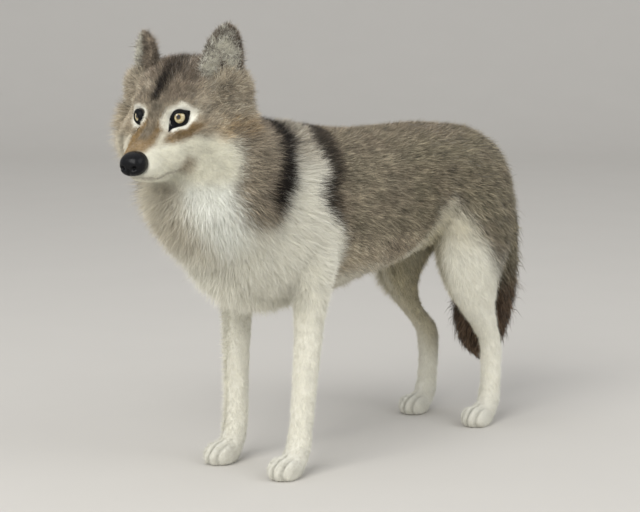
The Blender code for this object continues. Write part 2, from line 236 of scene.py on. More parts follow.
class Thread:
    """A number that runs between shader nodes. Python's operators on it add Math nodes."""

    def __init__(self, dye, socket):
        self.dye = dye
        self.socket = socket

    def math(self, operation, *values):
        return self.dye.node("ShaderNodeMath", {"operation": operation}, dict(enumerate(values)))

    def __add__(self, other):
        return self.math("ADD", self, other)

    def __radd__(self, other):
        return self.math("ADD", other, self)

    def __sub__(self, other):
        return self.math("SUBTRACT", self, other)

    def __rsub__(self, other):
        return self.math("SUBTRACT", other, self)

    def __mul__(self, other):
        return self.math("MULTIPLY", self, other)

    def __rmul__(self, other):
        return self.math("MULTIPLY", other, self)

    def eased(self, start, end):
        """A smooth step from 0 at start to 1 at end."""
        settings = {"interpolation_type": "SMOOTHSTEP"}
        return self.dye.node("ShaderNodeMapRange", settings, {0: self, 1: start, 2: end, 3: 0.0, 4: 1.0})


class Dye:
    """Builds the nodes of one material."""

    def __init__(self, name, roughness):
        self.material = bpy.data.materials.new(name)
        self.material.use_nodes = True
        self.tree = self.material.node_tree
        self.shader = self.tree.nodes["Principled BSDF"]
        self.shader.inputs["Roughness"].default_value = roughness

    def node(self, kind, settings=None, values=None, output=0):
        """Adds a node of this kind, with its settings first and then its sockets' values or links."""
        made = self.tree.nodes.new(kind)
        for key, value in (settings or {}).items():
            setattr(made, key, value)
        for key, value in (values or {}).items():
            self.feed(made.inputs[key], value)
        return Thread(self, made.outputs[output])

    def feed(self, socket, value):
        """Links a thread to a socket, or sets the socket's value."""
        if isinstance(value, Thread):
            self.tree.links.new(value.socket, socket)
        else:
            socket.default_value = value

    def set(self, **values):
        """Sets the shader's sockets by name, with underscores for spaces."""
        for key, value in values.items():
            self.feed(self.shader.inputs[key.replace("_", " ")], value)

    def place(self, stretch=(1, 1, 1)):
        """Object coordinates in millimetres, stretched along each axis."""
        where = self.node("ShaderNodeTexCoord", output=3)
        scale = tuple(1 / MM / s for s in stretch)
        return self.node("ShaderNodeMapping", None, {"Vector": where, "Scale": scale})

    def noise(self, size, detail=2.0, stretch=(1, 1, 1)):
        """Noise from 0 to 1 with lumps of this size in millimetres."""
        values = {"Vector": self.place(stretch), "Scale": 1 / size, "Detail": detail}
        return self.node("ShaderNodeTexNoise", None, values)

    def attribute(self, name, output="Color"):
        """An attribute of the mesh."""
        made = self.tree.nodes.new("ShaderNodeAttribute")
        made.attribute_name = name
        return Thread(self, made.outputs[output])

    def mix(self, factor, first, second, blend="MIX"):
        """Mixes two colours."""
        settings = {"data_type": "RGBA", "blend_type": blend, "clamp_factor": True}
        return self.node("ShaderNodeMix", settings, {0: factor, 6: first, 7: second}, 2)

    def grey(self, tone):
        """A grey of this tone."""
        return self.node("ShaderNodeCombineColor", None, {0: tone, 1: tone, 2: tone})

    def bump(self, height, distance, strength=1.0):
        """Bumps of this height, distance in millimetres."""
        values = {"Height": height, "Distance": distance * MM, "Strength": strength}
        return self.node("ShaderNodeBump", None, values)


def rgba(colour):
    """A colour with full alpha."""
    return (*colour, 1.0)


def felt_finish(name):
    """Felted wool: the colour laid on the mesh, mottled at two sizes, with needle dimples and matted fibres."""
    dye = Dye(name, 0.95)
    lumps = dye.noise(1.6, 3.0)
    hairs = dye.noise(0.22, 3.0, (1, 1, 2.4))
    tone = 0.84 + lumps * 0.12 + hairs * 0.2
    colour = dye.mix(1.0, dye.attribute("wool"), dye.grey(tone), "MULTIPLY")
    height = lumps * 0.7 + hairs * 0.5
    dye.set(Base_Color=colour, Normal=dye.bump(height, 0.5, 0.9))
    dye.set(Sheen_Weight=0.35, Sheen_Roughness=0.6, Specular_IOR_Level=0.15)
    return dye.material


def fibre_finish(name):
    """Loose wool: the colour laid on each fibre, slightly mottled, with a little sheen."""
    dye = Dye(name, 0.85)
    tone = 0.9 + dye.noise(0.8, 1.0) * 0.2
    colour = dye.mix(1.0, dye.attribute("wool"), dye.grey(tone), "MULTIPLY")
    dye.set(Base_Color=colour, Sheen_Weight=0.15, Specular_IOR_Level=0.12)
    return dye.material


def clay_finish(name, colour, roughness, varnish):
    """Black clay with a faint leathery grain under a coat of varnish."""
    dye = Dye(name, roughness)
    pores = dye.noise(0.55, 2.0)
    fine = dye.noise(0.16, 2.0)
    dye.set(
        Base_Color=dye.mix(pores, rgba(colour), rgba([c * 2.2 for c in colour])),
        Roughness=roughness + fine * 0.16 - 0.08,
        Normal=dye.bump(pores * 0.6 + fine * 0.4, 0.16, 0.6),
        Specular_IOR_Level=0.08,
        Coat_Weight=varnish,
        Coat_Roughness=0.14,
    )
    return dye.material


def glass_eye_finish(name, iris, pupil):
    """A painted eye under glass: pupil, streaked amber iris and a dark outer ring by distance from the middle."""
    dye = Dye(name, 0.08)
    away = dye.attribute("from_middle", "Fac")
    turn = dye.attribute("round_middle", "Fac")
    spread = dye.node("ShaderNodeCombineXYZ", None, {0: turn, 1: away * 0.12, 2: 0.0})
    rays = dye.node("ShaderNodeTexNoise", None, {"Vector": spread, "Scale": 9.0, "Detail": 3.0})
    edge = pupil / MM
    deep = rgba([iris[0] * 0.66, iris[1] * 0.52, iris[2] * 0.36])
    brown = rgba([iris[0] * 0.4, iris[1] * 0.25, 0.02])
    colour = dye.mix(rays.eased(0.35, 0.65), deep, rgba(iris))
    colour = dye.mix(away.eased(edge + 0.55, edge), colour, brown)
    colour = dye.mix(away.eased(IRIS_EDGE, IRIS_END), colour, (0.02, 0.014, 0.008, 1))
    colour = dye.mix(away.eased(edge + 0.12, edge - 0.08), colour, (0.004, 0.003, 0.003, 1))
    dye.set(Base_Color=colour, Coat_Weight=1.0, Coat_Roughness=0.02, Specular_IOR_Level=0.5)
    return dye.material


def keep(name, mesh, finish, slot, *nodes):
    """Makes a mesh into a piece of the wolf that rides on it, in place of the CAD nodes it stands for."""
    mesh.materials.clear()
    mesh.materials.append(finish)
    piece = bpy.data.objects.new(name, mesh)
    bpy.context.scene.collection.objects.link(piece)
    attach(piece, "root")
    if nodes:
        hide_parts(*nodes)
    return piece


def lay_colours(mesh, colours):
    """Writes one colour for each vertex into the mesh's attribute wool."""
    layer = mesh.attributes.new("wool", "FLOAT_COLOR", "POINT")
    layer.data.foreach_set("color", np.column_stack([colours, np.ones(len(colours))]).astype(np.float32).ravel())


def grid_mesh(name, points, closed_round=True, closed_along=False, capped=True):
    """A mesh over a grid of points (rows, columns, 3) in millimetres from the feet's middle."""
    rows, columns = points.shape[:2]
    flat = (points.reshape(-1, 3) + FEET_MIDDLE) * MM
    index = np.arange(rows * columns).reshape(rows, columns)
    if closed_round:
        index = np.column_stack([index, index[:, :1]])
    if closed_along:
        index = np.vstack([index, index[:1]])
    quads = np.stack([index[:-1, :-1], index[:-1, 1:], index[1:, 1:], index[1:, :-1]], axis=-1).reshape(-1, 4)
    faces = quads.tolist()
    if capped:
        faces += [index[0, :columns][::-1].tolist(), index[-1, :columns].tolist()]
    mesh = bpy.data.meshes.new(name)
    mesh.from_pydata(flat.tolist(), [], faces)
    mesh.shade_smooth()
    return mesh


MERGE_DISTANCE = 2e-6
PAW_TOP = 0.013
SMOOTH_ROUNDS = 3


def felted(name, nodes, size, dimples, paws=False):
    """A felt skin over merged copies of CAD nodes: an even remesh, smoothed, then pushed in and out by a smooth
    random field along its normals. With paws, its feet get finer faces and toes."""
    bm = bmesh.new()
    for node in nodes:
        bm.from_mesh(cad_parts[node].data)
    bmesh.ops.remove_doubles(bm, verts=bm.verts, dist=MERGE_DISTANCE)
    rough = bpy.data.meshes.new(name)
    bm.to_mesh(rough)
    bm.free()
    holder = bpy.data.objects.new(name + "_holder", rough)
    bpy.context.scene.collection.objects.link(holder)
    remesh = holder.modifiers.new("Even grain", "REMESH")
    remesh.mode = "VOXEL"
    remesh.voxel_size = size
    smooth = holder.modifiers.new("Smooth", "SMOOTH")
    smooth.iterations = SMOOTH_ROUNDS
    graph = bpy.context.evaluated_depsgraph_get()
    mesh = bpy.data.meshes.new_from_object(holder.evaluated_get(graph))
    bpy.data.objects.remove(holder)
    mesh.name = name
    if paws:
        bm = bmesh.new()
        bm.from_mesh(mesh)
        feet = [e for e in bm.edges if max(v.co.z for v in e.verts) < PAW_TOP]
        bmesh.ops.subdivide_edges(bm, edges=feet, cuts=1, use_grid_fill=True)
        bmesh.ops.triangulate(bm, faces=[f for f in bm.faces if len(f.verts) > 4])
        bm.to_mesh(mesh)
        bm.free()
    points, normals = corners_of(mesh)
    push = dimples * (grain(points, 3.2, 5) + 0.5 * grain(points, 1.4, 6)) * ease(points[:, 2], 0.2, 1.2)
    if paws:
        push = push + paw_shape(points)[0] * ease(points[:, 2], 0.1, 1.0)
    points = points + normals * push[:, None]
    mesh.vertices.foreach_set("co", ((points + FEET_MIDDLE) * MM).astype(np.float32).ravel())
    mesh.update()
    mesh.shade_smooth()
    return mesh


PAW_MIDDLES = (-71.0, 61.0)
GROOVES = ((-3.3, 0.8), (0.0, 1.0), (3.3, 0.8))
KNUCKLES = ((-4.7, 6.5), (-1.65, 8.6), (1.65, 8.6), (4.7, 6.5))


def paw_shape(p):
    """How far the skin of the paws stands out, in millimetres, and how deep in a groove it lies, from 0 to 1. Three
    grooves part the four toes over the front of each paw, and a pad stands behind each wrist."""
    x, y, z = p.T
    stand = np.zeros(len(p))
    deep = np.zeros(len(p))
    for middle in PAW_MIDDLES:
        across, ahead = np.abs(x) - 19.5, middle - y
        front = ease(ahead, -1.0, 4.5) * ease(z, 13, 9) * ease(np.abs(ahead), 16, 13)
        for place, depth in GROOVES:
            groove = bell((across - place * (1 + 0.02 * ahead)) / 0.62) * front
            stand -= 0.95 * depth * groove
            deep += depth * groove
        for place, tip in KNUCKLES:
            stand += 0.9 * bell((across - place) / 1.5, (ahead - tip + 1.5) / 3.2, (z - 6.5) / 3.5)
    wrist = bell((np.abs(x) - 20.0) / 3.0, (y + 57.5) / 3.0, (z - 22) / 3.5)
    return stand + 1.3 * wrist, np.clip(deep, 0, 1)


def corners_of(mesh):
    """The vertices in millimetres from the feet's middle, and their normals."""
    points = np.empty(len(mesh.vertices) * 3, np.float32)
    mesh.vertices.foreach_get("co", points)
    normals = np.empty(len(mesh.vertices) * 3, np.float32)
    mesh.vertex_normals.foreach_get("vector", normals)
    return points.reshape(-1, 3).astype(float) / MM - FEET_MIDDLE, normals.reshape(-1, 3).astype(float)


# Borders of the wools in millimetres: heights, and where the border or the middle of a band lies at each, or half
# the band's width there. The last four are in the head's frame: the cheek's border and the lip go by depth.
SADDLE_FRONT = (
    [60, 80, 90, 98, 107, 114, 121, 127, 133, 139, 146],
    [-50, -46, -42, -43, -47, -54, -55, -50, -48, -50, -46],
)
PATCH_FRONT = ([104, 111, 118, 126, 142, 150], [-96, -101, -106, -108, -105, -114])
FIRST_BAND = (
    [115, 119, 123, 126, 129, 132.6, 136.4, 140, 143.7, 146.7, 150],
    [-83.6, -83.7, -83.7, -82.9, -81.2, -78.5, -75.7, -71.2, -67.5, -65.5, -64],
)
FIRST_HALF = ([110, 114, 118, 126, 131, 150], [1.0, 3.6, 5.8, 7.0, 6.8, 6.2])
SECOND_BAND = (
    [104, 107.6, 114, 121, 127.5, 132.7, 138.9, 145.9, 149],
    [-44, -46.3, -52.3, -52.8, -46.5, -45.2, -45.3, -41, -38],
)
SECOND_HALF = ([104, 110, 114, 121, 127.5, 138.9, 147], [1.0, 3.6, 4.6, 5.8, 4.8, 6.6, 7.4])
CHEEK_BORDER = ([-20, -14, -8, -4, 4, 12, 20, 30], [-11.5, -10, -7, -7, -8.5, -8, -7.5, -9])
LIP = ([-20, -13, -2, 0], [-20.5, -21.5, -20.5, -16.5])
STRIPE_MIDDLE = ([4, 7, 10.4, 14.5, 17.8], [-2.4, -2.2, -1.5, -0.5, -0.2])
STRIPE_HALF = ([4, 8, 14, 18], [1.0, 2.0, 2.9, 3.6])


def wool_colours(p, wool, jitter=0.0):
    """The coat's colour at points: white, with each other wool laid over it by smooth steps on the wolf's length,
    height and side and on the head's own frame. Jitter moves each point at random, which frays the borders."""
    dice = np.random.default_rng(11)
    fingers = grain(p * [1, 0.4, 1], 2.3, 25) * 2.4 + grain(p * [1, 0.5, 1], 1.1, 26)
    p = p + dice.normal(0, 1, p.shape) * jitter
    tones = {key: np.array(getattr(wool, key)) for key in ("white", "grey", "neck", "crown", "tan", "black")}
    colour = np.tile(tones["white"], (len(p), 1))

    def lay(mask, tone):
        colour[:] += np.clip(mask, 0, 1)[:, None] * (np.asarray(tone) - colour)

    lay_trunk_wools(p, fingers, tones, lay)
    lay_head_wools(p, tones, lay)
    return colour


def lay_trunk_wools(p, fingers, tones, lay):
    """Lays the wools of the trunk and legs at points. Fingers push the borders of the black bands out and in."""
    x, y, z = p.T
    y = y + grain(p, 7.0, 1) * 1.6 + 1.5 * ease(y, -100, -85)

    def lay_band(middle, half, foot, edges, strength):
        """A black band with smoky edges: half its width, where it starts, and how far its edges reach."""
        smoky, outer, inner = edges
        away = np.abs(y - middle) + fingers
        lay(ease(away, half + smoky, half) * foot * 0.5, tones["crown"])
        lay(ease(away, half + outer, half - inner) * foot * strength, tones["black"])

    # Saddle and flank, from behind the shoulder to the groin and the thigh
    edge = np.interp(z, *SADDLE_FRONT)
    saddle = ease(y, edge - 2, edge + 4)
    flank_end = 41 - (112 - z) * 0.95 - 4 * ease(z, 98, 109)
    thigh_edge = 34 + (112 - z) * 0.66 + 2.5 * ease(z, 98, 109)
    groin = ease(y, flank_end - 3, flank_end + 4) * ease(y, thigh_edge + 7, thigh_edge - 6)
    saddle = saddle * (1 - groin * ease(z, 124, 114))
    low_edge = np.where(y > thigh_edge - 6, 64.0, 82.0)
    saddle = saddle * ease(z, low_edge - 4, low_edge + 8)
    lay(saddle, tones["grey"])
    lay(saddle * ease(z, 106, 86) * ease(y, 40, 18) * 0.85, tones["neck"] * 1.6)
    lay(saddle * ease(z, 88, 76) * 0.5, tones["white"] * 0.75)
    lay(ease(y, 10, 30) * (1 - saddle) * ease(z, 80, 101) * 0.72, [0.52, 0.47, 0.33])
    lay(saddle * ease(z, 142, 128) * ease(z, 96, 108) * ease(y, 20, -6) * 0.25, tones["neck"])
    lay(saddle * ease(z, 132, 146) * 0.42, tones["crown"])

    # Blotches and locks on the saddle
    blotch = grain(p * [1, 0.6, 1], 15.0, 24)
    lay(saddle * ease(blotch, 0.0, 0.6) * 0.22, tones["crown"])
    lay(saddle * ease(blotch, 0.0, -0.6) * 0.16, tones["neck"])
    lay(saddle * ease(grain(p * [1, 0.4, 1], 5.0, 3), 0.0, 0.8) * 0.4, tones["crown"])
    lay(saddle * ease(grain(p * [1, 0.4, 1], 4.0, 7), 0.1, 0.8) * 0.35, tones["neck"])

    # Painted shade under the belly and on the thighs' inner sides, greyer on the right one
    lay(ease(z, 88, 80) * ease(y, -40, -30) * ease(y, 40, 30) * ease(np.abs(x), 16, 9) * 0.4, tones["neck"])
    thigh = ease(y, 20, 32) * ease(z, 104, 92)
    lay(thigh * ease(z, 22, 44) * ease(np.abs(x), 20, 14) * 0.6, tones["neck"] * [1.05, 1.05, 0.8])
    lay(thigh * ease(z, 22, 50) * ease(x, -6, -14) * 0.45, tones["neck"] * [1.2, 1.2, 0.95])

    # Pale band over the shoulder, greyer along the back
    lay(ease(z, 122, 141) * ease(y, -76, -68) * (1 - saddle) * 0.8, tones["neck"] * 0.9)

    # Painted shade on the paws near the floor
    lay(ease(z, 18, 7) * 0.6, tones["white"] * 0.74)
    # A whiter bib left of the chest's middle, partly painted light
    bib = ease(y, -92, -106) * ease(z, 136, 122) * ease(z, 86, 98) * ease(np.abs(x - 22), 13, 5)
    lay(bib, [0.88, 0.885, 0.81])
    # A greyer right side of the chest, partly tan wool and partly painted shade
    right_chest = ease(x, 17, 5) * ease(x, -30, -22) * ease(y, -86, -98) * ease(z, 88, 106) * ease(z, 140, 128)
    lay(right_chest * 0.8, [0.53, 0.48, 0.37])

    # Neck patch between the ruff and the first black band
    first = np.interp(z, *FIRST_BAND)
    front = np.interp(z, *PATCH_FRONT)
    patch = ease(y, front - 4, front + 4) * ease(y, first + 3, first - 1) * ease(z, 102, 112)
    lay(patch, tones["neck"] * 0.9)
    lay(patch * ease(z, 140, 152) * 0.5, tones["crown"])
    lay(patch * ease(grain(p, 3.5, 9), 0.1, 0.8) * 0.4, tones["crown"])

    # The two black bands
    lay_band(first, np.interp(z, *FIRST_HALF), ease(z, 108, 116), (3.5, 1.8, 2.6), 1.0)
    second = np.interp(z, *SECOND_BAND)
    lay_band(second, np.interp(z, *SECOND_HALF), ease(z, 103, 114), (3.8, 2.4, 2.2), 0.81 + fingers / 30)


def lay_head_wools(p, tones, lay):
    """Lays the wools of the head at points, by the head's own frame."""
    lx, ly, lz = into_head(p).T
    lz = lz + grain(p, 4.0, 2) * 0.8
    head = ease(ly, 36, 28) * ease(lz, -40, -34)
    lay(head * ease(lz, -30, -24) * ease(ly, 16, 8), tones["white"] * [0.95, 0.95, 0.92])

    # Grey above the cheeks, with a tan blush along its border
    blur = 1.8 * ease(ly, 6, 14)
    border = np.interp(ly, *CHEEK_BORDER) + grain(p * [1, 0.5, 1], 2.6, 20) * ease(ly, 4, 12) * 1.5
    upper = head * ease(lz, border - 2.2 - blur, border + 2.2 + blur) * ease(ly, -7, -2)
    lay(upper, tones["neck"] * 1.1)
    blush = ease(lz, border - 5, border - 1) * ease(lz, border + 5, border + 1) * ease(ly, 4, 10) * head
    lay(blush * 0.45 * (0.8 + 0.6 * grain(p, 2.0, 19)), tones["tan"] * 1.5)

    # Crown, brow and specks
    lay(upper * ease(np.abs(lx), 18, 8) * ease(lz, 2, 9) * 0.35, tones["crown"])
    lay(upper * ease(ly, 8, 15) * ease(lz, 6, 14) * ease(np.abs(lx), 17, 10) * 0.8, tones["crown"])
    lay(upper * ease(ly, 1, 5) * ease(lz, 5, 8) * ease(np.abs(lx - 7), 8, 5) * 0.4, tones["crown"] * 0.8)
    lay(upper * ease(grain(p, 2.2, 10), 0.0, 0.8) * 0.4 * ease(lz, -4, 4), tones["crown"])
    lay(upper * ease(grain(p, 2.6, 14), 0.1, 0.8) * 0.4 * ease(ly, 4, 12), tones["white"] * 0.8)

    # Stripe down the forehead
    half = np.interp(lz, *STRIPE_HALF)
    stripe = ease(np.abs(lx - np.interp(lz, *STRIPE_MIDDLE)), half + 1.3, half - 1.0)
    stripe = stripe * ease(ly, 0.5, 2.5) * ease(lz, 3.5, 6) * head
    lay(stripe * (0.97 - 0.25 * ease(lz, 15, 20)), tones["black"] * 1.3)

    # Tan bridge, which reaches further down on its right side
    right = 3.5 * (lx < 0)
    bridge = ease(np.abs(lx), 7.0 + right, 4.2 + right) * ease(lz, border - 0.5 - right, border + 2 - right)
    bridge = head * ease(ly, 0, -5) * bridge
    lay(bridge * 0.95, tones["tan"] * (0.74 + 0.12 * grain(p, 1.6, 18))[:, None])

    # Tan crescents under the eyes, fainter on the right, and painted shade on the right cheek
    reach = np.abs(lx) - 9.1
    ring = np.hypot(reach / np.where(lx < 0, 5.0, 5.8), (lz - 0.3) / np.where(lx < 0, 4.6, 5.3))
    crescent = ease(ring, 0.86, 1.0) * ease(ring, 2.05, 1.55) * ease(lz, -1.5, -3.5) * ease(reach, -3.5, -0.5)
    crescent = crescent * np.where(lx < 0, 0.4, 1.0)
    lay(crescent * ease(ly, 13, 8) * head * (0.9 + 0.2 * grain(p, 1.2, 17)), tones["tan"] * 0.72)
    lay(ease(-lx, 7, 13) * ease(lz, 4, -3) * ease(lz, -30, -22) * head * 0.65, tones["neck"] * 1.15)

    # White rings round the eyes, greyer at their top towards the brow
    ragged = ring + 0.1 * grain(p, 1.1, 22) + 0.07 * grain(p, 0.5, 23)
    lay(ease(ragged, 1.12, 0.92) * ease(ly, 11, 8) * head, tones["white"])
    ring_top_grey = ease(ragged, 0.72, 0.86) * ease(lz, 2.4, 4.0) * ease(reach, 1.5, -2.0)
    lay(ring_top_grey * ease(ragged, 1.2, 1.0) * head * 0.55, tones["neck"] * 1.1)

    # Grey between the eyes and down the bridge's middle, painted shade along the lip line and tan painted shade at the
    # mouth's corners
    between = ease(np.abs(lx), 3.2, 2.0) * ease(lz, -13, -8) * ease(lz, 8, 5) * ease(ly, 6, 2) * ease(ly, -17, -10)
    lay(between * head * 0.85, tones["neck"] * 0.6)
    mouth = ease(np.abs(lz - np.interp(ly, *LIP)), 0.9, 0.2) * ease(ly, 0.5, -1.5) * ease(ly, -22, -19)
    lay(mouth * 0.6 * head, tones["crown"])
    corner = np.linalg.norm(np.column_stack([np.abs(lx) - 12.5, ly + 0.5, lz + 18.8]), axis=1)
    lay(ease(corner, 5.5, 1.5) * 0.4 * head, tones["tan"] * 0.9)


# How much lighter the tail's dark wool is than the bands', in red, green and blue.
TAIL_TONE = [6.7, 5.8, 4.9]


def tail_colours(p, wool, jitter=0.0):
    """The tail's colour: grey at its root and black below, with a frayed border."""
    dice = np.random.default_rng(12)
    height = p[:, 2] + dice.normal(0, 1, len(p)) * jitter * 2 + grain(p, 6.0, 4) * 3
    dark = ease(height, 78, 62)[:, None] * (0.94 + 0.06 * grain(p, 1.5, 15))[:, None]
    return np.array(wool.grey) * (1 - dark) + (np.array(wool.black) * TAIL_TONE) * dark


def ear_inside(p):
    """Which ear a point lies on, 1 for the left one and -1 for the right one, and how near its rim, from 0 to 1."""
    q = into_head(p)
    side = np.where(q[:, 0] > 0, 1.0, -1.0)
    across = np.abs(q[:, 0]) - 17.5 - (q[:, 2] - 12) * 0.12
    rim = ease(np.hypot(across / 8.0, (q[:, 2] - 14) / 18.0), 0.62, 1.0)
    return side, rim


def ear_colours(p, n, wool, jitter=0.0):
    """An ear's colour: pale in its hollow, with dark flecks by the rim and a dark spot, and dark brown behind."""
    dice = np.random.default_rng(13)
    p = p + dice.normal(0, 1, p.shape) * jitter
    side, rim = ear_inside(p)
    out = n @ HEAD_AXES
    q = into_head(p)
    inside = ease(-out[:, 1] - 0.25 * side * out[:, 0], -0.1, 0.3)
    inside = (inside * np.where(side < 0, ease(np.abs(q[:, 0]), 15.5, 18.5), 1.0))[:, None]
    spot = bell((side * q[:, 0] - 17.8) / 1.7, (q[:, 2] - 16.5) / 3.4)
    speck = grain(p, 0.7, 8) * 1.5 + grain(p, 2.2, 16) * 0.55
    outer = ease(side * q[:, 0], 20.5, 24.5) * 0.45
    flecks = ease(speck + rim * 1.15 + outer + spot * 1.5, 0.55, 1.05)[:, None]
    hollow = np.array(wool.white) * 0.94
    hollow = hollow + flecks * (np.array(wool.crown) * 0.7 - hollow)
    back = np.array(wool.crown) * (0.55 + 0.3 * grain(p, 0.8, 21))[:, None] + np.array(wool.neck) * 0.35
    return back + inside * (hollow - back)


RUFF_CENTRE = np.array([3.0, -121.0, 158.0])


def comb(p, n):
    """Which way the fibres lie: back along the trunk, out from the head over the ruff, down the legs, and away
    from the nose on the head; then laid into the skin."""
    _, y, z = p.T
    lx, ly, lz = into_head(p).T
    along = np.tile([0.0, 1.0, -0.3], (len(p), 1))

    def sweep(weight, way):
        along[:] += weight[:, None] * (way - along)

    sweep(ease(y, -48, -74), unit(p - RUFF_CENTRE) + np.array([0, 0.2, -0.4]))
    sweep(ease(y, 45, 78) * ease(z, 90, 120), np.array([0, 0.55, -0.9]))
    sweep(ease(y, 26, 44) * ease(z, 122, 98), np.array([0, 0.42, -1.0]))
    sweep(ease(z, 122, 90) * ease(y, -40, -20) * 0.45, np.array([0, 0.5, -0.9]))
    sweep(ease(z, 86, 66) * (y < 10), np.array([0, 0.12, -1.0]))
    from_nose = np.column_stack([lx * 1.1, ly + 25, (lz + 9) * 0.8])
    face = unit(from_nose) + np.column_stack([np.sign(lx) * 0.1, np.zeros(len(p)), -0.35 * ease(lz, 4, -12)])
    sweep(ease(ly, 33, 25) * ease(lz, -36, -28), face @ HEAD_AXES.T)
    return laid_flat(along, n)


def fibre_length(p):
    """How long the fibres are at points, in millimetres: long on the ruff, mid on the trunk, short on the head and
    a fuzz on the legs, muzzle and round the eyes."""
    x, y, z = p.T
    lx, ly, lz = into_head(p).T
    # Trunk and ruff
    length = 4.6 + 3.2 * ease(y, -45, -75) * ease(z, 150, 135)
    length = length - 1.2 * ease(z, 138, 146) * ease(y, -60, -40)
    length = length + (5.2 - length) * ease(y, 20, 34) * ease(z, 110, 90)
    length = length + 1.6 * ease(y, 60, 80) * ease(z, 70, 90)
    length = length + 1.3 * ease(z, 92, 82) * ease(y, 30, 12) * ease(y, -40, -30)
    length = length + 1.5 * ease(y, -30, -45) * ease(z, 92, 80) * ease(np.abs(x), 14, 8)

    # Legs and paws
    fore_bare = ease(z, 98, 60) * ease(np.abs(x), 7, 14)
    bare = np.where(y < -20, fore_bare, ease(z, 84, 46)) ** 0.7
    length = length + (2.0 - length) * bare
    length = length + (1.4 - length) * ease(z, 18, 8)

    # Head: cheeks, right cheek, muzzle and crown, and round the eyes
    side = ease(np.abs(lx), 12, 21) * ease(ly, 5, 20)
    cheek = 1.3 + 5.0 * side - 2.6 * ease(lz, -15, 9) * side
    cheek = cheek - 1.0 * ease(-lx, 12, 18) * ease(lz, -22, -2)
    cheek = cheek * ease(ly, -26, 4) + 0.55 + 1.3 * ease(lz, 6, 12) * ease(ly, 3, 9)
    length = length + (cheek - length) * ease(ly, 30, 22) * ease(lz, -34, -28)
    for side in (-1, 1):
        away = np.linalg.norm(np.column_stack([lx - side * EYE_SPACING / 2, ly - 1.5, lz]), axis=1)
        length = np.minimum(length, 0.45 + 0.5 * np.maximum(away - 4.2, 0))
    return length


def fibre_lift(p):
    """How steeply the fibres stand from the skin, in radians."""
    ly = into_head(p)[:, 1]
    lift = 0.32 + 0.14 * ease(p[:, 1], -50, -75)
    lift = lift + 0.12 * np.where(p[:, 1] < -20, ease(p[:, 2], 82, 60), ease(p[:, 2], 70, 46))
    return lift + 0.26 * ease(ly, 30, 22) * ease(ly, -6, 4)


def evenly(p):
    """A density of 1 everywhere."""
    return np.ones(len(p))


def sown(mesh, count, seed, density):
    """Points sown over a mesh by area times density, with the skin's normal at each."""
    mesh.calc_loop_triangles()
    corners = np.empty(len(mesh.loop_triangles) * 3, np.int32)
    mesh.loop_triangles.foreach_get("vertices", corners)
    corners = corners.reshape(-1, 3)
    points, normals = corners_of(mesh)
    a, b, c = (points[corners[:, i]] for i in range(3))
    area = np.linalg.norm(np.cross(b - a, c - a), axis=1)
    weight = area * density((a + b + c) / 3)
    dice = np.random.default_rng(seed)
    pick = dice.choice(len(corners), count, p=weight / weight.sum())
    u, v = dice.random((2, count))
    over = u + v > 1
    u, v = np.where(over, 1 - u, u)[:, None], np.where(over, 1 - v, v)[:, None]
    chosen = corners[pick]
    where = points[chosen[:, 0]] * (1 - u - v) + points[chosen[:, 1]] * u + points[chosen[:, 2]] * v
    facing = normals[chosen[:, 0]] * (1 - u - v) + normals[chosen[:, 1]] * u + normals[chosen[:, 2]] * v
    return where, unit(facing)


STRAY_SHARE = 0.08
ROOT_DEPTH = 0.15
FLOOR_GAP = 0.05
STEEPEST = 1.3
SPECKLES = ([0.4, 0.75, 1.0, 1.35, 1.85], [0.18, 0.22, 0.26, 0.2, 0.14])

# A tuft's faces as indices of its corners, its corners in its cell of the UV map, and how light the wool is painted at
# each
# corner: painted shade darkens the root, much in dark wool and only a little in pale wool, and dark wool's tip gets a
# painted highlight.
SLIVER = ([0, 1, 2], [[0.15, 0.12], [0.85, 0.12], [0.5, 0.9]], [0.68, 0.68, 1.1], [0.92, 0.92, 1.0])
RIBBON = (
    [0, 1, 2, 0, 2, 3, 3, 2, 4],
    [[0.15, 0.12], [0.85, 0.12], [0.75, 0.5], [0.25, 0.5], [0.5, 0.9]],
    [0.68, 0.68, 1.0, 1.0, 1.12],
    [0.92, 0.92, 1.0, 1.0, 1.0],
)


